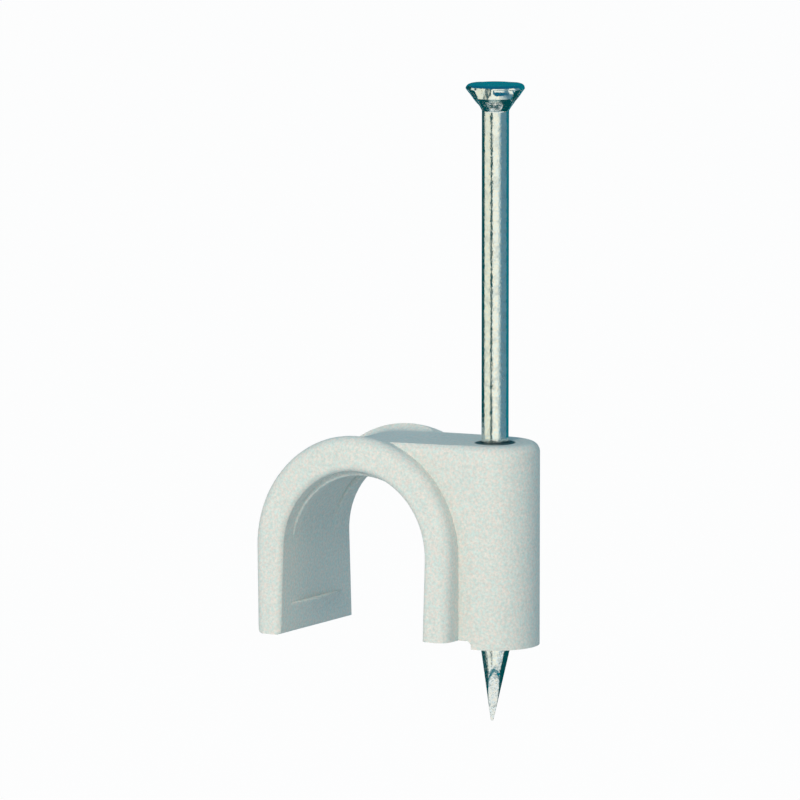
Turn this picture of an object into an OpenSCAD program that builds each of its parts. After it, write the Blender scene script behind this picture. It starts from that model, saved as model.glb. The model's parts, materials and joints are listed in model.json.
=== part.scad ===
// Nail-in cable clip: a moulded hook with a boss at one side, and a steel nail through the boss.
// Millimetres. The origin is on the nail's axis at the wall, +Z runs from the wall to the nail's
// head, +X from the hook to the boss, and the cable lies along Y.

/* [Cable space] */
// Width between the two legs
cable_w = 11.7; // [9:0.1:14]
// Height of the inner crown above the wall
cable_h = 12.05; // [10:0.05:15]

/* [Hook] */
// Thickness of the free leg where the arch springs from it
leg_t = 2.32; // [1.8:0.02:2.7]
// Thickness of the fixed leg, beside the boss
fixed_t = 1.98; // [1.4:0.02:2.4]
// Thickness of the crown
crown_t = 2.46; // [1.6:0.02:3.2]
// Depth of the channel along the hook's back, between a rim at the front and a rim at the rear
channel_d = 0.5; // [0.3:0.01:0.7]
// Width of the channel's flat bottom
channel_w = 5.4; // [4.6:0.1:5.6]
// Radius of the hollow that rises from there to each rim
channel_r = 1.2; // [0.8:0.05:1.6]
// Rise of the channel's straight end from the crown to the nail, in degrees
top_rise = 2; // [1:0.1:2.4]
// Width of the hook at the wall, along the cable
hook_w = 10.1; // [8.5:0.1:13]
// Draft of the front and rear faces, in degrees
side_draft = 2.8; // [1:0.1:4]
// Inward lean of the free leg's outer face, in degrees
leg_lean = 2.6; // [0:0.1:4]
// Rounding of the outer edges
edge_r = 0.85; // [0.7:0.05:1.4]
// Rounding of the edges round the cable space
mouth_r = 0.5; // [0.2:0.05:0.6]
// Rounding of the free leg's outer corner at the wall
toe_r = 0.65; // [0.3:0.05:0.9]
// Rounding of the free leg's inner corner at the wall
toe_in_r = 0.2; // [0.1:0.05:0.4]
// Height of the relief under the fixed leg
relief_h = 0.56; // [0.3:0.02:0.8]
// Rounding where the relief meets the boss's foot
relief_r = 0.4; // [0.1:0.05:0.5]

/* [Grip] */
// Height of a rib at the crown
rib_h = 0.48; // [0.2:0.02:0.6]
// How far a rib's curve sinks into the wall at the springing
rib_sink = 0.06; // [0.03:0.01:0.12]
// Width of a rib
rib_w = 0.9; // [0.6:0.05:1.4]
// Rounding of a rib's edges
rib_r = 0.15; // [0.1:0.01:0.25]
// Distance between the middles of the two ribs
rib_gap = 5.5; // [3:0.1:6]
// Length of the barb on the free leg
barb_l = 7.3; // [4:0.1:8]
// Height of the barb at its middle
barb_h = 0.44; // [0.2:0.02:0.6]
// Length of the barb's slope, which faces the wall
barb_slope = 0.95; // [0.7:0.05:1.2]
// Rounding of the barb's crest
barb_r = 0.1; // [0.05:0.01:0.12]
// Height of the barb's step above the wall
barb_z = 2.1; // [2:0.05:3.5]

/* [Boss] */
// Radius of the boss's round end
boss_r = 3.15; // [2.6:0.05:3.6]
// Rounding of the boss's top edge
boss_edge_r = 0.7; // [0.4:0.05:1.2]
// Wall between the nail's bore and the cable space
bore_wall = 2.05; // [1.4:0.05:3]
// Width of the lead-in round the bore's top
lead_in = 0.16; // [0.1:0.02:0.7]

/* [Nail] */
// Diameter of the shank
nail_d = 1.9; // [1.6:0.05:2.2]
// Length from the head's top to the point
nail_l = 45; // [38:0.5:55]
// How far the point's shoulder stands out of the boss's foot
shoulder_out = 0.3; // [0.1:0.1:3]
// Running clearance round the shank
nail_clear = 0.06; // [0.03:0.01:0.09]
// Diameter of the head
head_d = 4.2; // [3.4:0.1:5]
// Height of the head's rim
rim_h = 0.3; // [0.3:0.02:0.6]
// Rounding of the head's rim
rim_r = 0.12; // [0.06:0.01:0.14]
// Half angle of the head's cone, in degrees
cone_angle = 36.5; // [35:0.5:45]
// Length of the cut faces on the left and right of the point
point_l = 5.2; // [4:0.1:6]
// Length of the cut faces on the front and back of the point
facet_l = 3.7; // [2.5:0.1:4.4]
// How far the cutting dies spread the shank at the shoulder
point_flare = 0.14; // [0.05:0.01:0.25]
// How far the tip stands off the axis
tip_off = 0.18; // [0:0.02:0.3]
// Turn of the point's faces about the axis, in degrees
point_turn = 30; // [0:1:90]

/* [Hidden] */
$fn = 64;
eps = 0.01;

// Cable space: a half circle on straight legs
arch_r = cable_w / 2;
arch_z = cable_h - arch_r;
bore_r = nail_d / 2 + nail_clear;
lead_r = bore_r + lead_in;
arch_x = -(bore_r + bore_wall + arch_r);

// Outer form of the hook: its centre lies higher, so the crown is thicker than the legs
out_r = (cable_w + leg_t + fixed_t) / 2;
out_x = arch_x - (leg_t - fixed_t) / 2;
crown_z = cable_h + crown_t;
out_z = crown_z - out_r;
channel_in = out_r - channel_d;
boss_h = out_z + channel_in / cos(top_rise) - out_x * tan(top_rise);
half_w = hook_w / 2;
reach = crown_z + hook_w;
mouth_lap = 0.02;
relief_fillet = min(relief_r, relief_h * 0.8);
relief_x = -0.05;

// Ribs: the arch's half circle, a little larger and set lower, so each rib runs out at its ends
crest_r = arch_r + rib_sink;
crest_z = arch_z - rib_h - rib_sink;

// Barb: a slice of a ring whose arc dips into the leg at both ends
barb_arc_r = (pow(barb_l / 2, 2) + pow(barb_h, 2)) / (2 * barb_h);
barb_x = arch_x - arch_r + barb_h - barb_arc_r;
barb_span = asin(barb_l / 2 / barb_arc_r);
barb_face = norm([barb_h, barb_slope]);
barb_back = barb_r * (barb_face + barb_h) / barb_slope;

// Nail, from the tip upwards
nail_r = nail_d / 2;
head_r = head_d / 2;
point_out = point_l + shoulder_out;
head_top = nail_l - point_out;
cone_h = (head_r - nail_r) / tan(cone_angle);
neck_z = head_top - rim_h - cone_h;
shoulder_z = -shoulder_out;
blank_r = nail_r + point_flare;
burr_r = nail_r + point_flare / 4;

// Rectangle with its two corners on the -Y side rounded, from y = 0 inwards
module rounded_edge(x0, x1, depth, r) {
    translate([x0, r]) square([x1 - x0, depth - r]);
    translate([x0 + r, 0]) square([x1 - x0 - 2 * r, depth]);
    for (x = [x0 + r, x1 - r]) translate([x, r]) circle(r);
}

// Section of the hook from the arch's axis outwards: x is the radius, y the depth from the front
module hook_section() {
    intersection() {
        rounded_edge(-out_r, out_r, half_w * 2, edge_r);
        square([out_r, half_w * 2]);
    }
}

// Straight bar of that section, which goes on where a sweep from the X axis begins
module hook_bar(length) {
    rotate([90, 0, 0]) translate([0, 0, -length]) linear_extrude(length) hook_section();
}

// Solid block of the hook: up from the fixed leg, over the arch and down the free leg
module hook_block() {
    mirror([0, 1, 0]) rotate([90, 0, 0]) {
        mirror([0, 1, 0]) hook_bar(reach);
        rotate_extrude(angle = 180 + leg_lean) hook_section();
        rotate([0, 0, 180 + leg_lean]) hook_bar(reach);
    }
}

// Puts a shape on the front face, which leans back by the draft: y = 0 is the face, +Y is inwards
module on_front_face() {
    translate([0, -half_w, 0]) rotate([-side_draft, 0, 0]) children();
}

// Front half of the hook as a solid block, its front face leaning back by the draft
module hook_half() {
    intersection() {
        translate([arch_x - reach, -reach, 0]) cube([2 * reach, reach, 2 * reach]);
        on_front_face() translate([out_x, 0, out_z]) hook_block();
    }
}

// Boss and the block that joins it to the hook, with a rounded top edge
module boss() {
    rotate_extrude() intersection() {
        rotate([0, 0, 180]) translate([0, -boss_h])
            rounded_edge(-boss_r, boss_r, boss_h, boss_edge_r);
        square([boss_r, boss_h]);
    }
    translate([arch_x, 0, boss_h]) rotate([0, 90, 0]) rotate([0, 0, 90]) linear_extrude(-arch_x)
        mirror([0, 1]) rounded_edge(-boss_r, boss_r, boss_h, boss_edge_r);
}

// Section of the channel from the arch's axis outwards: x is the radius, y runs along the cable
module channel_section() {
    translate([channel_in, -channel_w / 2]) square([channel_r + eps, channel_w]);
    for (y = [-1, 1] * channel_w / 2) translate([channel_in + channel_r, y]) circle(channel_r);
    translate([channel_in + channel_r, -half_w]) square([channel_r, 2 * half_w]);
}

// Straight length of the channel, which goes on where a sweep from the X axis begins
module channel_bar(length) {
    rotate([90, 0, 0]) translate([0, 0, -length]) linear_extrude(length) channel_section();
}

// Channel: straight over the boss and the crown, round the arch and down the free leg
module channel() {
    turn = 90 - top_rise + leg_lean;
    translate([out_x, 0, out_z]) rotate([90, 0, 0]) rotate([0, 0, 90 + top_rise]) {
        mirror([0, 1, 0]) channel_bar(reach);
        rotate_extrude(angle = turn) channel_section();
        rotate([0, 0, turn]) channel_bar(reach);
    }
}

// Space for the cable, open at the wall
module cable_space() {
    translate([arch_x, half_w + eps, 0]) rotate([90, 0, 0]) linear_extrude(hook_w + 2 * eps) {
        translate([0, arch_z]) circle(arch_r);
        translate([-arch_r, -eps]) square([cable_w, arch_z + eps]);
    }
}

// Outline of what the rounded mouth takes off beside the cable space, outwards and inwards
module mouth_section() {
    edge = arch_r + mouth_r - mouth_lap;
    difference() {
        translate([arch_r / 2, -mouth_r]) square([edge - arch_r / 2, 2 * mouth_r]);
        translate([edge, mouth_r]) circle(mouth_r);
    }
}

// Rounded edge of the cable space at the front face
module mouth() {
    on_front_face() translate([arch_x, 0, arch_z]) {
        rotate([-90, 0, 0]) rotate([0, 0, 180]) rotate_extrude(angle = 180) mouth_section();
        for (side = [0, 1]) mirror([side, 0, 0])
            translate([0, 0, -reach]) linear_extrude(reach) mouth_section();
    }
}

// Relief that keeps the fixed leg off the wall, with a rounded end at the boss's foot
module relief() {
    translate([0, half_w + eps, 0]) rotate([90, 0, 0]) linear_extrude(hook_w + 2 * eps) {
        translate([arch_x, -eps]) square([relief_x - relief_fillet - arch_x, relief_h + eps]);
        translate([arch_x, -eps]) square([relief_x - arch_x, relief_h - relief_fillet + eps]);
        translate([relief_x - relief_fillet, relief_h - relief_fillet]) circle(relief_fillet);
    }
}

// What a rounding takes off a corner that points to -X and to the wall
module rounded_off(r, over) {
    translate([0, half_w + eps, 0]) rotate([90, 0, 0]) linear_extrude(hook_w + 2 * eps)
        difference() {
            translate([-over, -eps]) square([over + r, r + eps]);
            translate([r, r]) circle(r);
        }
}

// Corners that are rounded off the free leg's toe, outside and inside
module toe_corners() {
    translate([out_x - out_r + out_z * tan(leg_lean), 0, 0]) rounded_off(toe_r, leg_t);
    translate([arch_x - arch_r, 0, 0]) mirror([1, 0, 0]) rounded_off(toe_in_r, eps);
}

// One rib round the inside of the arch
module rib() {
    rotate([-90, 0, 0]) rotate([0, 0, 180]) rotate_extrude(angle = 180)
        translate([crest_r, -rib_w / 2]) {
            translate([rib_r, 0]) square([leg_t / 2, rib_w]);
            translate([0, rib_r]) square([rib_r + eps, rib_w - 2 * rib_r]);
            for (y = [rib_r, rib_w - rib_r]) translate([rib_r, y]) circle(rib_r);
        }
}

// Section of the barb: a step at y = 0, a rounded crest, and a slope down into the leg
module barb_section() {
    translate([-barb_back, -barb_r]) circle(barb_r);
    polygon([
        [-1.4 * barb_h, 0], [-barb_back, 0],
        [-barb_back + barb_r * barb_slope / barb_face, -barb_r - barb_r * barb_h / barb_face],
        [-1.4 * barb_h, -1.4 * barb_slope]
    ]);
}

// Barb that holds the cable in
module barb() {
    translate([barb_x, 0, barb_z]) rotate([0, 0, -barb_span]) rotate_extrude(angle = 2 * barb_span)
        translate([barb_arc_r, 0]) barb_section();
}

module bore() {
    translate([0, 0, -eps]) cylinder(r = bore_r, h = boss_h + 2 * eps);
    translate([0, 0, boss_h - (lead_r - bore_r)])
        cylinder(r1 = bore_r, r2 = lead_r + eps, h = lead_r - bore_r + eps);
}

module clip() {
    color("#dfe3e1") {
        difference() {
            union() {
                hook_half();
                mirror([0, 1, 0]) hook_half();
                boss();
            }
            channel();
            cable_space();
            mouth();
            mirror([0, 1, 0]) mouth();
            relief();
            toe_corners();
            bore();
        }
        for (y = [-1, 1] * rib_gap / 2) translate([arch_x, y, crest_z]) rib();
        barb();
    }
}

// Point: the spread shank cut to four faces that meet a little off the axis
module point() {
    rotate([0, 0, point_turn]) intersection() {
        translate([0, 0, -point_out]) cylinder(r = blank_r, h = point_l);
        translate([0, blank_r, 0]) rotate([90, 0, 0]) linear_extrude(2 * blank_r)
            polygon([[-burr_r, shoulder_z], [-tip_off, -point_out], [blank_r, shoulder_z]]);
        translate([-blank_r, 0, 0]) rotate([90, 0, 90]) linear_extrude(2 * blank_r)
            polygon([
                [-burr_r, shoulder_z], [-burr_r, facet_l - point_out], [0, -point_out],
                [burr_r, facet_l - point_out], [burr_r, shoulder_z]
            ]);
    }
}

// Half outline of the shank and the head, from just inside the point to the head's top
module nail_outline() {
    polygon([
        [0, shoulder_z - eps], [nail_r, shoulder_z - eps], [nail_r, neck_z],
        [head_r, head_top - rim_h], [head_r, head_top - rim_r],
        [head_r - rim_r, head_top], [0, head_top]
    ]);
    translate([head_r - rim_r, head_top - rim_r]) circle(rim_r);
}

module nail() {
    color("#b9c2c4") {
        rotate_extrude() nail_outline();
        point();
    }
}

clip();
nail();
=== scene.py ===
import json
import math

import bpy
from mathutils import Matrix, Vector, noise


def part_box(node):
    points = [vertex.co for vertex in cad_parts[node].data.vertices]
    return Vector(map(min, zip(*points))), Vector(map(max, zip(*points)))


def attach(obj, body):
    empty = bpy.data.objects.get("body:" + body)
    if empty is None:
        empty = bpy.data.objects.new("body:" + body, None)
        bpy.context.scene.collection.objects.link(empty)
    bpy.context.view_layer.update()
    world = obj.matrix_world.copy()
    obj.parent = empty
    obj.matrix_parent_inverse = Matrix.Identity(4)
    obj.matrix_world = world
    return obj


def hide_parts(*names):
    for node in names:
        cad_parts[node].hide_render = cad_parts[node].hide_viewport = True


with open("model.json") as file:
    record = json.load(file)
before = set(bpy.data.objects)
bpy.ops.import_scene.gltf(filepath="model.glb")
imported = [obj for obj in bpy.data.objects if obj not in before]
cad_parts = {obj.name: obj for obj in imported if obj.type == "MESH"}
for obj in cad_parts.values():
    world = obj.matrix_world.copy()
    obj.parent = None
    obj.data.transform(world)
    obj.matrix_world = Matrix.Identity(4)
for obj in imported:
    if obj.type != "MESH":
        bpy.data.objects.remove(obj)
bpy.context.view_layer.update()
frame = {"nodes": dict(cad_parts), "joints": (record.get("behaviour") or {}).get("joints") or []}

bl_info = {
    "name": "Nail-in cable clip",
    "version": (1, 0, 0),
    "blender": (4, 5, 0),
    "location": "3D View > Sidebar > Cable clip",
    "description": "Dresses the moulded clip, makes its plated nail and sets up the studio",
    "category": "Object",
}

MM = 0.001
NAIL_LOW, NAIL_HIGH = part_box("nail")
# How far the nail can be driven in from where it stands
DRIVE = frame["joints"][0]["range_m"][1]

# Mesh of the nail: the corners in a ring, and the rings or the step of each stretch from tip to rim
SEGMENTS = 128
POINT_RINGS = 48
SHANK_STEP = 0.5 * MM
NECK_RINGS = 4
CONE_RINGS = 36
RIM_RINGS = 6
# The point's rings crowd towards the tip by this power, and the shank's first ring lies this far above them
POINT_CROWDING = 1.3
SHANK_START = 0.02 * MM
# Stretch below the neck where the rings lie closer
NECK_LEAD = 0.6 * MM
# Radii of the rings on the head's top, as shares of the rim's
TOP_RINGS = (0.97, 0.9, 0.75, 0.55, 0.35, 0.15)
# Edges that bend by more than this are drawn sharp
SHARP_EDGE = math.radians(35)

# Cut faces of the point: how crisply they meet the wire, and the share of it beyond which they cut nothing
FACE_HARDNESS = 24
FACE_CLEAR = 1.2

# Pads of the gripping dies: a pad begins between these cosines of the angle from its middle, and its
# underside falls in by this slope
PAD_EDGE = (0.64, 0.82)
PAD_UNDERCUT = 1.6
# Ledge on a pad: it steps in and runs out over these shares of the pad's height, and it begins at the pad's
# middle between these sines of twice the angle from there
LEDGE_IN = (0.0, 0.14)
LEDGE_OUT = (0.8, 0.15)
LEDGE_SIDE = (-0.05, 0.1)
# Dents and upright flutes of the heading die: how many round the nail, how many along a millimetre, and
# their share of the marks' depth; and the share by which the marks sink the cone on the whole
DENTS = (2.6, 2.2)
DENT_SHARE = 0.9
FLUTES = (6.0, 1.2)
FLUTE_SHARE = 0.6
FLUTE_SHIFT = 9
MARK_SINK = 0.5

# Colour and strength of the studio cards
CARD_COLOURS = {
    "cream_card": ("#fbfced", 0.92),
    "white_card": ("#fbfbf2", 1.04),
    "pale_card": ("#dae4e4", 1.0),
    "dim_card": ("#9bb6c0", 1.0),
    "slate_card": ("#618a9d", 1.0),
    "teal_card": ("#007587", 1.0),
    "petrol_card": ("#066484", 1.0),
    "night_card": ("#004a51", 1.0),
}
# Upright cards: the azimuths in degrees from the front between which each one stands
UPRIGHT_CARDS = (
    ("card_left", -72, -11, "cream_card"),
    ("card_gap", -11, 7, "night_card"),
    ("card_front", 7, 55, "white_card"),
    ("card_fade", 55, 68, "pale_card"),
    ("card_dim", 68, 79, "dim_card"),
    ("card_right", 79, 139, "slate_card"),
    ("card_back_right", 139, 236, "teal_card"),
    ("card_back_left", 236, 288, "night_card"),
)
# Cards on the floor: azimuths in degrees from the camera's, then the inner and outer radius in millimetres
FLOOR_CARDS = (
    ("card_under", -80, 80, 0, 25, "night_card"),
    ("card_apron", -80, 80, 40, 80, "teal_card"),
    ("card_behind", 80, 280, 0, 135, "night_card"),
)
# Degrees in one flat stretch of an upright card and of a lying one
UPRIGHT_STEP = 4
LYING_STEP = 5


def linear(hex_colour):
    """Turns an sRGB hex colour into linear red, green, blue and alpha."""
    parts = [int(hex_colour[i:i + 2], 16) / 255 for i in (1, 3, 5)]
    return [p / 12.92 if p <= 0.04045 else ((p + 0.055) / 1.055) ** 2.4 for p in parts] + [1.0]


def size(label, description, millimetres):
    """A length in metres, given here in millimetres."""
    return bpy.props.FloatProperty(
        name=label, description=description, default=millimetres * MM, unit="LENGTH", precision=5
    )


def degrees(label, description, value):
    """An angle in radians, given here in degrees."""
    return bpy.props.FloatProperty(
        name=label, description=description, default=math.radians(value), subtype="ANGLE"
    )


def watts(label, description, value):
    """The power of a lamp."""
    return bpy.props.FloatProperty(name=label, description=description, default=value, unit="POWER")


def colour(label, description, hex_colour):
    """A colour, given here as sRGB hex."""
    return bpy.props.FloatVectorProperty(
        name=label, description=description, default=linear(hex_colour), size=4, subtype="COLOR", min=0, max=1
    )


def share(label, description, default):
    """A number from 0 to 1."""
    return bpy.props.FloatProperty(
        name=label, description=description, default=default, min=0, max=1, subtype="FACTOR"
    )


class ClipFinish(bpy.types.PropertyGroup):
    """Finish of the moulded clip"""

    warm_grain: colour("Warm grain", "Light grey of the plastic in its warmer specks", "#eee3dc")
    cool_grain: colour("Cool grain", "Light grey of the plastic in its cooler specks", "#d4e5e2")
    dark_grain: colour("Dark grain", "Grey at the bottom of the grain", "#aab1ae")
    # Painted shade round the bore: a dark teal patch, with its radius, fading edge and offset, that stands in
    # for the shadow in the gap round the nail
    bore_shade: colour("Rub", "Grey that the nail rubs off round the bore", "#2c4c50")
    bore_shade_radius: size("Rub radius", "Radius of that grey mark", 1.5)
    bore_shade_edge: size("Rub edge", "Width over which that mark fades out", 0.15)
    bore_shade_right: size("Rub to the right", "How far the mark's middle lies to the right of the nail", 0.26)
    bore_shade_front: size("Rub to the front", "How far the mark's middle lies in front of the nail", 0.43)
    grain: size("Grain", "Width of the grain left by the spark-eroded mould", 0.18)
    grain_depth: size("Grain depth", "Depth of that grain", 0.009)
    ripple: size("Ripple", "Width of the slow waves left by shrinkage", 3.0)
    ripple_depth: size("Ripple depth", "Depth of those waves", 0.054)
    roughness: share("Roughness", "How dull the moulded surface is", 0.55)
    roughness_spread: share("Roughness spread", "How far the dullness varies with the grain", 0.1)


class NailShape(bpy.types.PropertyGroup):
    """Sizes of the nail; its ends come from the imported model"""

    shank: size("Shank", "Diameter of the drawn wire", 1.9)
    rim: size("Rim", "Height of the head's rim", 0.3)
    rim_round: size("Rim rounding", "Rounding of the rim's upper edge", 0.34)
    dish: size("Dish", "How far the middle of the head's top is sunk", 0.03)
    neck: size("Neck", "Height at which the cone leaves the shank", 37.646)
    neck_blend: size("Neck blend", "Softness of the corner at the neck", 0.004)
    shoulder: size("Shoulder", "Height at which the point leaves the shank", -0.3)
    facet: size("Facet", "Length of the shorter pair of cut faces", 3.4)
    flare: size("Flare", "How far the cutting dies spread the wire", 0.14)
    burr: size("Burr", "How far they spread it on the other side", 0.035)
    tip_offset: size("Tip offset", "How far the tip stands off the axis", 0.18)
    blunt: size("Blunt tip", "Half the width of the tip", 0.08)
    turn: degrees("Turn", "Turn of the cut faces about the axis", 30)
    forging: size("Forging marks", "Depth of the dents that the heading die leaves", 0.05)
    forging_fade: size("Forging fade", "Length over which the dents fade at the neck and the top", 0.3)
    pad: size("Pad", "Height of the upright pads that the two gripping dies press into the head", 0.9)
    pad_depth: size("Pad depth", "How far those pads lie inside the rim", 0.2)
    ledge: size("Ledge", "Depth of the ledge across the right half of a pad", 0.17)
    ledge_drop: size("Ledge drop", "How far the ledge starts below the head's top", 0.22)
    pad_turn: degrees("Pad turn", "Azimuth of one pad from the front; the other lies behind", 26)


class NailFinish(bpy.types.PropertyGroup):
    """Finish of the plated nail"""

    plate_warm: colour("Warm plate", "Zinc where its clear coat is thicker", "#f2efe1")
    plate_cool: colour("Cool plate", "Blue-white of bare zinc", "#e2eeee")
    stain: colour("Stain", "Dull patches of the plate", "#cbd3d1")
    fleck: size("Fleck", "Width of the warm and cool flecks", 0.16)
    draw_line: size("Draw line", "Width of the short marks left by the drawing die", 0.2)
    draw_length: size("Draw length", "Length of those marks", 0.24)
    draw_depth: size("Draw depth", "Depth of those marks", 0.02)
    patch: size("Patch", "Width of the dull patches", 0.5)
    pit_depth: size("Pit depth", "Depth of the pits in the dull patches", 0.01)
    roughness: share("Roughness", "How dull the plate is", 0.12)
    stain_roughness: share("Stain roughness", "How much duller the patches are", 0.2)


class Studio(bpy.types.PropertyGroup):
    """Camera, light and floor"""

    azimuth: degrees("Azimuth", "Camera's turn about Z from the front", 31)
    elevation: degrees("Elevation", "Camera's height as an angle", 9.67)
    distance: size("Distance", "From the camera to the origin", 700)
    lens: bpy.props.FloatProperty(
        name="Lens", description="Focal length on a sensor 36 mm wide", default=448.6, unit="CAMERA"
    )
    aim_right: size("Aim right", "How far the camera's aim lies to the right of the origin", -6.68)
    aim_up: size("Aim up", "How far the camera's aim lies above the origin", 17.07)
    floor_drop: size("Floor drop", "Room between the floor and the driven nail's tip", 0.7)
    floor_half: size("Floor half", "Half the width of the floor", 4000)
    floor: colour("Floor", "Pale face of the light table", "#d6dfe3")
    table_glow: share("Table glow", "Share of the table's light that comes from below", 0.15)
    table_white: share("Table white", "That share as the camera sees it", 0.97)
    card_radius: size("Card radius", "From the nail's axis to the upright cards", 140)
    card_top: size("Card top", "Height of the upright cards' top and of the roof card", 120)
    card_lift: size("Card lift", "Height of the lying cards above the floor", 0.2)
    lamp_distance: size("Lamp distance", "From the lamps to the origin", 800)
    key: watts("Key light", "Power of the soft light at the front", 3.8)
    key_colour: colour("Key colour", "Colour of the key light", "#ffedd9")
    key_azimuth: degrees("Key azimuth", "Turn of the key light from the front", 3)
    key_elevation: degrees("Key elevation", "Height of the key light as an angle", 24)
    key_size: size("Key size", "Width of the key light", 250)
    side: watts("Side light", "Power of the soft light at the right", 0.65)
    side_colour: colour("Side colour", "Colour of the side light", "#ffe0ac")
    side_azimuth: degrees("Side azimuth", "Turn of the side light from the front", 78)
    side_elevation: degrees("Side elevation", "Height of the side light as an angle", 12)
    side_size: size("Side size", "Width of the side light", 300)
    horizon: colour("Horizon", "Light that comes in from the sides of the room", "#cdd6d6")
    rear: colour("Rear", "Light that comes in from behind", "#78959e")
    zenith: colour("Zenith", "Light that comes down from above", "#8fb2c4")


def add_node(tree, kind, inputs=(), **settings):
    """Adds a node, sets its options, and sets or links its inputs."""
    made = tree.nodes.new(kind)
    for name, value in settings.items():
        setattr(made, name, value)
    for name, value in dict(inputs).items():
        if isinstance(value, bpy.types.NodeSocket):
            tree.links.new(value, made.inputs[name])
        else:
            made.inputs[name].default_value = value
    return made


def new_material(name):
    """An empty node material."""
    material = bpy.data.materials.new(name)
    material.use_nodes = True
    material.node_tree.nodes.clear()
    return material, material.node_tree


def moulded_polypropylene(finish):
    # Polypropylene, injection moulded against a spark-eroded steel mould: a soft sheen with no sharp
    # highlight, an even fine grain with faint warm and cool specks, and slow waves from shrinkage. Round
    # the bore, a little to the front and right of the nail, a dark teal patch of painted shade stands in
    # for the shadow in the gap round the nail.
    # The grain is drawn about twice as coarse as the real one, so that it shows.
    material, tree = new_material("moulded_polypropylene")
    place = add_node(tree, "ShaderNodeTexCoord").outputs["Object"]
    grain = add_node(
        tree, "ShaderNodeTexNoise",
        {"Vector": place, "Scale": 1 / finish.grain, "Detail": 2.0, "Roughness": 0.6},
    ).outputs["Fac"]
    # Moved, so that the specks don't follow the grain
    moved = add_node(
        tree, "ShaderNodeMapping", {"Vector": place, "Location": (0.37, 0.11, 0.53)}
    ).outputs["Vector"]
    tint = add_node(
        tree, "ShaderNodeTexNoise",
        {"Vector": moved, "Scale": 0.9 / finish.grain, "Detail": 2.0, "Distortion": 0.4},
    ).outputs["Fac"]
    ripple = add_node(
        tree, "ShaderNodeTexNoise", {"Vector": place, "Scale": 1 / finish.ripple, "Detail": 1.0}
    ).outputs["Fac"]
    warmth = add_node(
        tree, "ShaderNodeMapRange", {"Value": tint, "From Min": 0.35, "From Max": 0.65}
    ).outputs["Result"]
    specks = add_node(
        tree, "ShaderNodeMix",
        {"Factor": warmth, 6: finish.cool_grain, 7: finish.warm_grain}, data_type="RGBA",
    ).outputs[2]
    height = add_node(
        tree, "ShaderNodeMapRange", {"Value": grain, "From Min": 0.25, "From Max": 0.75, "To Min": 0.5}
    ).outputs["Result"]
    body = add_node(
        tree, "ShaderNodeMix", {"Factor": height, 6: finish.dark_grain, 7: specks}, data_type="RGBA"
    ).outputs[2]
    # Painted shade round the bore: a dark teal patch, its middle a little to the front and right of the nail
    across = add_node(
        tree, "ShaderNodeVectorMath",
        {0: place, 1: (1, 1, 0), 2: (-finish.bore_shade_right, finish.bore_shade_front, 0)}, operation="MULTIPLY_ADD",
    ).outputs["Vector"]
    from_shade_middle = add_node(tree, "ShaderNodeVectorMath", {0: across}, operation="LENGTH").outputs["Value"]
    bore_shaded = add_node(
        tree, "ShaderNodeMapRange",
        {"Value": from_shade_middle, "From Min": finish.bore_shade_radius, "From Max": finish.bore_shade_radius - finish.bore_shade_edge},
    ).outputs["Result"]
    body = add_node(
        tree, "ShaderNodeMix", {"Factor": bore_shaded, 6: body, 7: finish.bore_shade}, data_type="RGBA"
    ).outputs[2]
    dullness = add_node(
        tree, "ShaderNodeMapRange",
        {
            "Value": grain,
            "To Min": finish.roughness - finish.roughness_spread,
            "To Max": finish.roughness + finish.roughness_spread,
        },
    ).outputs["Result"]
    waves = add_node(
        tree, "ShaderNodeBump", {"Height": ripple, "Distance": finish.ripple_depth, "Strength": 0.5}
    ).outputs["Normal"]
    relief = add_node(
        tree, "ShaderNodeBump",
        {"Height": grain, "Distance": finish.grain_depth, "Strength": 0.8, "Normal": waves},
    ).outputs["Normal"]
    shader = add_node(
        tree, "ShaderNodeBsdfPrincipled",
        {"Base Color": body, "Roughness": dullness, "Normal": relief, "IOR": 1.49},
    )
    add_node(tree, "ShaderNodeOutputMaterial", {"Surface": shader.outputs["BSDF"]})
    return material


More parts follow.
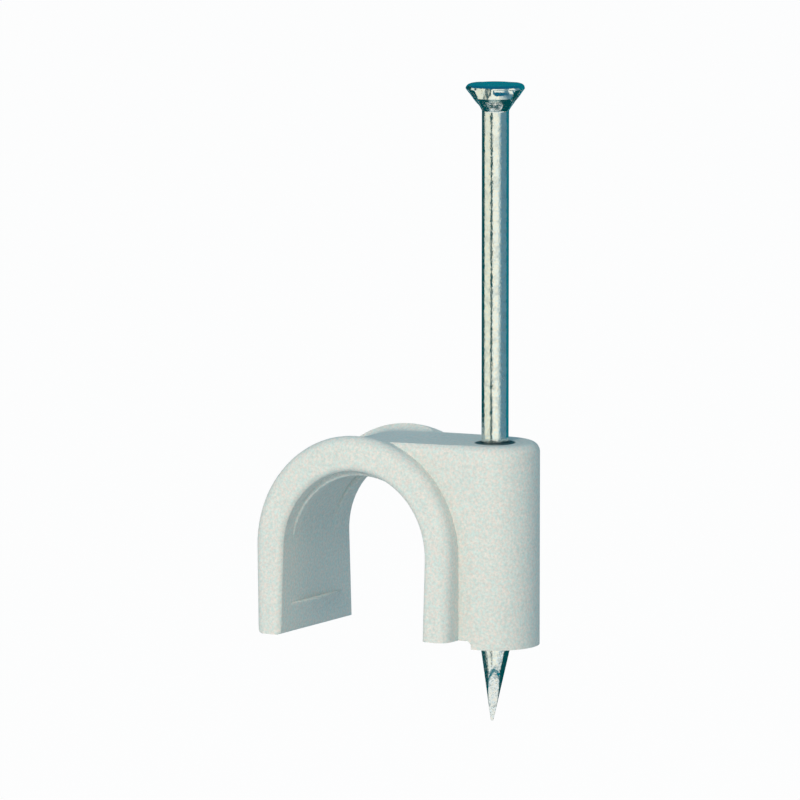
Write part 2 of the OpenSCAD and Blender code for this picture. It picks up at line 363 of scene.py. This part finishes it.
def bright_zinc_plate(finish):
    # Bright zinc plate on cold-drawn steel wire: a blue-white mirror broken by the short marks of the
    # drawing die, by faint warm and cool flecks, and by small dull patches where the plate has stained.
    # The marks and flecks are drawn wider than the real ones, so that they show.
    material, tree = new_material("bright_zinc_plate")
    place = add_node(tree, "ShaderNodeTexCoord").outputs["Object"]
    stretched = add_node(
        tree, "ShaderNodeMapping",
        {"Vector": place, "Scale": [1 / finish.draw_line, 1 / finish.draw_line, 1 / finish.draw_length]},
    ).outputs["Vector"]
    lines = add_node(
        tree, "ShaderNodeTexNoise", {"Vector": stretched, "Scale": 1.0, "Detail": 3.0}
    ).outputs["Fac"]
    patches = add_node(
        tree, "ShaderNodeTexNoise",
        {"Vector": place, "Scale": 1 / finish.patch, "Detail": 5.0, "Roughness": 0.65},
    ).outputs["Fac"]
    stained = add_node(
        tree, "ShaderNodeMapRange", {"Value": patches, "From Min": 0.47, "From Max": 0.75}
    ).outputs["Result"]
    flecks = add_node(
        tree, "ShaderNodeTexNoise", {"Vector": place, "Scale": 1 / finish.fleck, "Detail": 2.0}
    ).outputs["Fac"]
    warmth = add_node(
        tree, "ShaderNodeMapRange", {"Value": flecks, "From Min": 0.35, "From Max": 0.65}
    ).outputs["Result"]
    zinc = add_node(
        tree, "ShaderNodeMix",
        {"Factor": warmth, 6: finish.plate_cool, 7: finish.plate_warm}, data_type="RGBA",
    ).outputs[2]
    plate = add_node(
        tree, "ShaderNodeMix", {"Factor": stained, 6: zinc, 7: finish.stain}, data_type="RGBA"
    ).outputs[2]
    dullness = add_node(
        tree, "ShaderNodeMapRange",
        {"Value": stained, "To Min": finish.roughness, "To Max": finish.roughness + finish.stain_roughness},
    ).outputs["Result"]
    pits = add_node(
        tree, "ShaderNodeBump", {"Height": patches, "Distance": finish.pit_depth, "Strength": 0.5}
    ).outputs["Normal"]
    drawn = add_node(
        tree, "ShaderNodeBump",
        {"Height": lines, "Distance": finish.draw_depth, "Strength": 1.0, "Normal": pits},
    ).outputs["Normal"]
    shader = add_node(
        tree, "ShaderNodeBsdfPrincipled",
        {"Base Color": plate, "Metallic": 1.0, "Roughness": dullness, "Normal": drawn},
    )
    add_node(tree, "ShaderNodeOutputMaterial", {"Surface": shader.outputs["BSDF"]})
    return material


def dress(piece, material):
    """Gives every face of a piece one material."""
    piece.data.materials.clear()
    piece.data.materials.append(material)


def add_mesh(scene, name, corners, faces):
    """A new object in the scene, with a mesh of the same name."""
    mesh = bpy.data.meshes.new(name)
    mesh.from_pydata(corners, [], faces)
    made = bpy.data.objects.new(name, mesh)
    scene.collection.objects.link(made)
    return made


class CABLECLIP_OT_clip(bpy.types.Operator):
    """Gives the moulded hook and boss their plastic finish"""

    bl_idname = "cable_clip.dress_clip"
    bl_label = "Dress the clip"
    bl_options = {"REGISTER", "UNDO"}

    def execute(self, context):
        clip = frame["nodes"]["clip"]
        dress(clip, moulded_polypropylene(context.scene.clip_finish))
        return {"FINISHED"}


def soft_min(a, b, hardness):
    """The smaller of two positive lengths, with the corner between them rounded."""
    return (a ** -hardness + b ** -hardness) ** (-1 / hardness)


def soft_max(a, b, blend):
    """The larger of two lengths, with the corner between them filled."""
    return 0.5 * (a + b + math.hypot(a - b, blend))


def smooth_step(start, end, value):
    """Runs smoothly from 0 at the start to 1 at the end."""
    part = max(0, min(1, (value - start) / (end - start)))
    return part * part * (3 - 2 * part)


def die_mark(angle, z, marks, shift):
    """Noise round the nail, with so many marks round it and along a millimetre."""
    around, along = marks
    return noise.noise(Vector((math.cos(angle) * around, math.sin(angle) * around, z / MM * along + shift)))


def point_ring(shape, z, angles):
    """Outline of the cut point at height z: the spread wire between two pairs of faces."""
    wire = shape.shank / 2
    blank = wire + shape.flare
    burr = wire + shape.burr
    tip = NAIL_LOW.z
    up = (z - tip) / (shape.shoulder - tip)
    left = -shape.tip_offset - shape.blunt + (shape.tip_offset + shape.blunt - burr) * up
    right = -shape.tip_offset + shape.blunt + (shape.tip_offset - shape.blunt + blank) * up
    half = min(FACE_CLEAR * burr, shape.blunt + (burr - shape.blunt) * (z - tip) / shape.facet)
    middle = (left + right) / 2
    ring = []
    for angle in angles:
        c = math.cos(angle)
        s = math.sin(angle)
        to_round = -middle * c + math.sqrt(max(0, blank ** 2 - (middle * s) ** 2))
        to_side = 1 / math.hypot(2 * c / (right - left), s / blank)
        to_face = half / max(abs(s), 1e-6)
        r = soft_min(min(to_round, to_side), to_face, FACE_HARDNESS)
        x = middle + r * c
        y = r * s
        ring.append((
            x * math.cos(shape.turn) - y * math.sin(shape.turn),
            x * math.sin(shape.turn) + y * math.cos(shape.turn),
            z,
        ))
    return ring


def head_radius(shape, z, angle):
    """Radius of the shank and the head at a height and an angle, with the marks of the heading dies."""
    wire = shape.shank / 2
    head = (NAIL_HIGH.x - NAIL_LOW.x) / 2
    top = NAIL_HIGH.z
    slope = (head - wire) / (top - shape.rim - shape.neck)
    cone = min(head, wire + (z - shape.neck) * slope)
    upright = head - shape.pad_depth
    pad = min(upright, max(cone, upright - PAD_UNDERCUT * (top - shape.pad - z)))
    turned = angle - shape.pad_turn + math.pi / 2
    pressed = smooth_step(*PAD_EDGE, abs(math.cos(turned)))
    below = (top - shape.ledge_drop - z) / (shape.pad - shape.ledge_drop)
    stepped = smooth_step(*LEDGE_IN, below) * smooth_step(*LEDGE_OUT, below)
    pad -= shape.ledge * stepped * smooth_step(*LEDGE_SIDE, math.sin(2 * turned))
    r = soft_max(wire, cone + (pad - cone) * pressed, shape.neck_blend)
    marked = smooth_step(shape.neck, shape.neck + shape.forging_fade, z)
    marked *= smooth_step(top, top - shape.forging_fade, z)
    marks = DENT_SHARE * die_mark(angle, z, DENTS, 0) + FLUTE_SHARE * die_mark(angle, z, FLUTES, FLUTE_SHIFT)
    r += shape.forging * marked * (marks - MARK_SINK)
    over = z - (top - shape.rim_round)
    if over > 0:
        r -= shape.rim_round - math.sqrt(max(0, shape.rim_round ** 2 - over ** 2))
    return r


def nail_rings(shape):
    """Rings of the nail from its tip to the middle of its head."""
    angles = [2 * math.pi * i / SEGMENTS for i in range(SEGMENTS)]
    tip = NAIL_LOW.z
    rings = []
    for i in range(1, POINT_RINGS + 1):
        up = (i / POINT_RINGS) ** POINT_CROWDING
        rings.append(point_ring(shape, tip + (shape.shoulder - tip) * up, angles))
    heights = [shape.shoulder + SHANK_START]
    while heights[-1] < shape.neck - 2 * NECK_LEAD:
        heights.append(heights[-1] + SHANK_STEP)
    heights += [shape.neck - NECK_LEAD * (1 - i / NECK_RINGS) for i in range(NECK_RINGS)]
    rim_low = NAIL_HIGH.z - shape.rim
    heights += [shape.neck + (rim_low - shape.neck) * i / CONE_RINGS for i in range(CONE_RINGS + 1)]
    rim_bend = NAIL_HIGH.z - shape.rim_round
    for i in range(1, RIM_RINGS + 1):
        heights.append(rim_bend + shape.rim_round * math.sin(math.pi / 2 * i / RIM_RINGS))
    for z in heights:
        ring = []
        for angle in angles:
            r = head_radius(shape, z, angle)
            ring.append((r * math.cos(angle), r * math.sin(angle), z))
        rings.append(ring)
    edge = rings[-1]
    for inset in TOP_RINGS:
        dish = shape.dish * (1 - inset ** 4)
        rings.append([
            (x * inset, y * inset, z - dish * (1 + 0.5 * noise.noise(Vector((x, y, 0)) * inset / MM)))
            for x, y, z in edge
        ])
    return rings


class CABLECLIP_OT_nail(bpy.types.Operator):
    """Makes the headed and pointed nail and plates it"""

    bl_idname = "cable_clip.make_nail"
    bl_label = "Make the nail"
    bl_options = {"REGISTER", "UNDO"}

    def execute(self, context):
        rings = nail_rings(context.scene.nail_shape)
        corners = [corner for ring in rings for corner in ring]
        faces = []
        for low in range(len(rings) - 1):
            for i in range(SEGMENTS):
                j = (i + 1) % SEGMENTS
                a = low * SEGMENTS
                b = a + SEGMENTS
                faces.append((a + i, a + j, b + j, b + i))
        tip = [sum(c[k] for c in rings[0]) / SEGMENTS for k in (0, 1)] + [NAIL_LOW.z]
        crown = [0, 0, sum(c[2] for c in rings[-1]) / SEGMENTS]
        corners += [tip, crown]
        last = len(rings) * SEGMENTS - SEGMENTS
        for i in range(SEGMENTS):
            j = (i + 1) % SEGMENTS
            faces.append((j, i, len(corners) - 2))
            faces.append((last + i, last + j, len(corners) - 1))
        nail = add_mesh(context.scene, "plated_nail", corners, faces)
        mesh = nail.data
        mesh.validate()
        mesh.polygons.foreach_set("use_smooth", [True] * len(mesh.polygons))
        mesh.set_sharp_from_angle(angle=SHARP_EDGE)
        dress(nail, bright_zinc_plate(context.scene.nail_finish))
        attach(nail, "nail")
        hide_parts("nail")
        return {"FINISHED"}


def towards(azimuth, elevation):
    """Direction from the origin at an azimuth from the front and an elevation."""
    return Vector((
        math.sin(azimuth) * math.cos(elevation),
        -math.cos(azimuth) * math.cos(elevation),
        math.sin(elevation),
    ))


def seen_directly(tree):
    """One for rays that the camera sends straight, through something clear or by way of a mirror."""
    path = add_node(tree, "ShaderNodeLightPath").outputs
    seen = path["Is Camera Ray"]
    for kind in ("Is Glossy Ray", "Is Transmission Ray"):
        either = add_node(tree, "ShaderNodeMath", {0: seen, 1: path[kind]}, operation="MAXIMUM")
        seen = either.outputs["Value"]
    return seen


def lit_floor(studio):
    # White light table: it glows evenly from below, and its matt face shows the shadow. From below it is
    # clear, so that the part can be looked at from there.
    material, tree = new_material("white_light_table")
    seen = seen_directly(tree)
    board = add_node(tree, "ShaderNodeBsdfDiffuse", {"Color": studio.floor}).outputs["BSDF"]
    glow = add_node(tree, "ShaderNodeEmission", {"Color": (1, 1, 1, 1), "Strength": 1.0}).outputs["Emission"]
    part = add_node(
        tree, "ShaderNodeMapRange", {"Value": seen, "To Min": studio.table_glow, "To Max": studio.table_white}
    ).outputs["Result"]
    surface = add_node(tree, "ShaderNodeMixShader", {0: part, 1: board, 2: glow}).outputs["Shader"]
    under = add_node(tree, "ShaderNodeNewGeometry").outputs["Backfacing"]
    clear = add_node(tree, "ShaderNodeBsdfTransparent").outputs["BSDF"]
    surface = add_node(tree, "ShaderNodeMixShader", {0: under, 1: surface, 2: clear}).outputs["Shader"]
    add_node(tree, "ShaderNodeOutputMaterial", {"Surface": surface})
    return material


def card_material(name):
    # Coated studio card: an even patch of light or dark that the metal mirrors
    hex_colour, strength = CARD_COLOURS[name]
    material, tree = new_material(name)
    glow = add_node(tree, "ShaderNodeEmission", {"Color": linear(hex_colour), "Strength": strength})
    add_node(tree, "ShaderNodeOutputMaterial", {"Surface": glow.outputs["Emission"]})
    return material


def mirror_card(scene, name, span, step, edges, material):
    """A card that only reflections show, bent round the nail's axis.

    It spans two azimuths in steps, all in degrees, between two edges, each a radius and a height.
    """
    start, end = span
    steps = max(2, int((end - start) / step))
    corners = []
    for i in range(steps + 1):
        side = towards(math.radians(start + (end - start) * i / steps), 0)
        corners += [(side.x * radius, side.y * radius, z) for radius, z in edges]
    faces = [(2 * i, 2 * i + 1, 2 * i + 3, 2 * i + 2) for i in range(steps)]
    card = add_mesh(scene, name, corners, faces)
    dress(card, material)
    card.visible_camera = False
    card.visible_diffuse = False
    card.visible_shadow = False
    card.visible_transmission = False
    card.visible_volume_scatter = False


def lay_floor(scene, studio, floor_z):
    """Lays the light table below the place that the driven nail reaches."""
    half = studio.floor_half
    corners = [(x * half, y * half, floor_z) for x, y in ((-1, -1), (1, -1), (1, 1), (-1, 1))]
    floor = add_mesh(scene, "floor_board", corners, [(0, 1, 2, 3)])
    dress(floor, lit_floor(studio))


def hang_cards(scene, studio, floor_z):
    """Sets the studio cards round, above and below the nail."""
    cards = {name: card_material(name) for name in CARD_COLOURS}
    radius = studio.card_radius
    top = studio.card_top
    for name, start, end, card in UPRIGHT_CARDS:
        edges = ((radius, floor_z), (radius, top))
        mirror_card(scene, name, (start, end), UPRIGHT_STEP, edges, cards[card])
    mirror_card(scene, "card_roof", (0, 360), LYING_STEP, ((0, top), (radius, top)), cards["petrol_card"])
    low = floor_z + studio.card_lift
    facing = math.degrees(studio.azimuth)
    for name, start, end, inner, outer, card in FLOOR_CARDS:
        edges = ((inner * MM, low), (outer * MM, low))
        mirror_card(scene, name, (facing + start, facing + end), LYING_STEP, edges, cards[card])


def light_room(scene, studio):
    """Fills the room with soft light; the camera and mirrors see it white."""
    world = bpy.data.worlds.new("studio_room")
    world.use_nodes = True
    tree = world.node_tree
    tree.nodes.clear()
    seen = seen_directly(tree)
    ray = add_node(tree, "ShaderNodeTexCoord").outputs["Generated"]
    part = add_node(tree, "ShaderNodeSeparateXYZ", {"Vector": ray}).outputs
    depth = add_node(
        tree, "ShaderNodeMapRange", {"Value": part["Y"], "From Min": -0.6, "From Max": 0.6}
    ).outputs["Result"]
    height = add_node(tree, "ShaderNodeMapRange", {"Value": part["Z"], "From Max": 0.6}).outputs["Result"]
    light = add_node(
        tree, "ShaderNodeMix", {"Factor": depth, 6: studio.horizon, 7: studio.rear}, data_type="RGBA"
    ).outputs[2]
    light = add_node(
        tree, "ShaderNodeMix", {"Factor": height, 6: light, 7: studio.zenith}, data_type="RGBA"
    ).outputs[2]
    fill = add_node(tree, "ShaderNodeBackground", {"Color": light, "Strength": 1.0}).outputs["Background"]
    white = add_node(
        tree, "ShaderNodeBackground", {"Color": (1, 1, 1, 1), "Strength": 1.0}
    ).outputs["Background"]
    room = add_node(tree, "ShaderNodeMixShader", {0: seen, 1: fill, 2: white}).outputs["Shader"]
    add_node(tree, "ShaderNodeOutputWorld", {"Surface": room})
    scene.world = world


def add_lamp(scene, name, power, tint, width, place):
    """A round soft lamp that faces the origin; the metal mirrors the cards in its stead."""
    lamp = bpy.data.lights.new(name, "AREA")
    lamp.shape = "DISK"
    lamp.size = width
    lamp.energy = power
    lamp.color = tint[:3]
    light = bpy.data.objects.new(name, lamp)
    light.location = place
    light.rotation_euler = light.location.to_track_quat("Z", "Y").to_euler()
    light.visible_glossy = False
    scene.collection.objects.link(light)


def place_camera(scene, studio):
    """Sets the camera at the photograph's angle."""
    lens = bpy.data.cameras.new("photo_camera")
    lens.lens = studio.lens
    lens.sensor_width = 36
    camera = bpy.data.objects.new("photo_camera", lens)
    back = towards(studio.azimuth, studio.elevation)
    right = Vector((math.cos(studio.azimuth), math.sin(studio.azimuth), 0))
    aim = right * studio.aim_right + back.cross(right) * studio.aim_up
    camera.location = back * studio.distance
    camera.rotation_euler = (aim - camera.location).to_track_quat("-Z", "Y").to_euler()
    scene.collection.objects.link(camera)
    scene.camera = camera


class CABLECLIP_OT_stage(bpy.types.Operator):
    """Sets up the floor, the studio cards, the light and the camera"""

    bl_idname = "cable_clip.set_stage"
    bl_label = "Set the stage"
    bl_options = {"REGISTER", "UNDO"}

    def execute(self, context):
        scene = context.scene
        studio = scene.clip_studio
        scene.view_settings.view_transform = "Standard"
        floor_z = NAIL_LOW.z - DRIVE - studio.floor_drop
        lay_floor(scene, studio, floor_z)
        hang_cards(scene, studio, floor_z)
        light_room(scene, studio)
        key_place = towards(studio.key_azimuth, studio.key_elevation) * studio.lamp_distance
        add_lamp(scene, "key_light", studio.key, studio.key_colour, studio.key_size, key_place)
        side_place = towards(studio.side_azimuth, studio.side_elevation) * studio.lamp_distance
        add_lamp(scene, "side_light", studio.side, studio.side_colour, studio.side_size, side_place)
        place_camera(scene, studio)
        return {"FINISHED"}


class CABLECLIP_PT_panel(bpy.types.Panel):
    """Lists the steps and the sizes and colours that they use"""

    bl_idname = "CABLECLIP_PT_panel"
    bl_label = "Nail-in cable clip"
    bl_space_type = "VIEW_3D"
    bl_region_type = "UI"
    bl_category = "Cable clip"

    def draw(self, context):
        for operator, groups in (
            (CABLECLIP_OT_clip, ("clip_finish",)),
            (CABLECLIP_OT_nail, ("nail_shape", "nail_finish")),
            (CABLECLIP_OT_stage, ("clip_studio",)),
        ):
            box = self.layout.box()
            box.operator(operator.bl_idname)
            for group in groups:
                settings = getattr(context.scene, group)
                for name in settings.__annotations__:
                    box.prop(settings, name)


CLASSES = (
    ClipFinish,
    NailShape,
    NailFinish,
    Studio,
    CABLECLIP_OT_clip,
    CABLECLIP_OT_nail,
    CABLECLIP_OT_stage,
    CABLECLIP_PT_panel,
)


def register():
    for cls in CLASSES:
        bpy.utils.register_class(cls)
    bpy.types.Scene.clip_finish = bpy.props.PointerProperty(type=ClipFinish)
    bpy.types.Scene.nail_shape = bpy.props.PointerProperty(type=NailShape)
    bpy.types.Scene.nail_finish = bpy.props.PointerProperty(type=NailFinish)
    bpy.types.Scene.clip_studio = bpy.props.PointerProperty(type=Studio)


def unregister():
    del bpy.types.Scene.clip_studio
    del bpy.types.Scene.nail_finish
    del bpy.types.Scene.nail_shape
    del bpy.types.Scene.clip_finish
    for cls in reversed(CLASSES):
        bpy.utils.unregister_class(cls)


def main():
    register()
    bpy.ops.cable_clip.dress_clip()
    bpy.ops.cable_clip.make_nail()
    bpy.ops.cable_clip.set_stage()


if __name__ == "__main__":
    main()
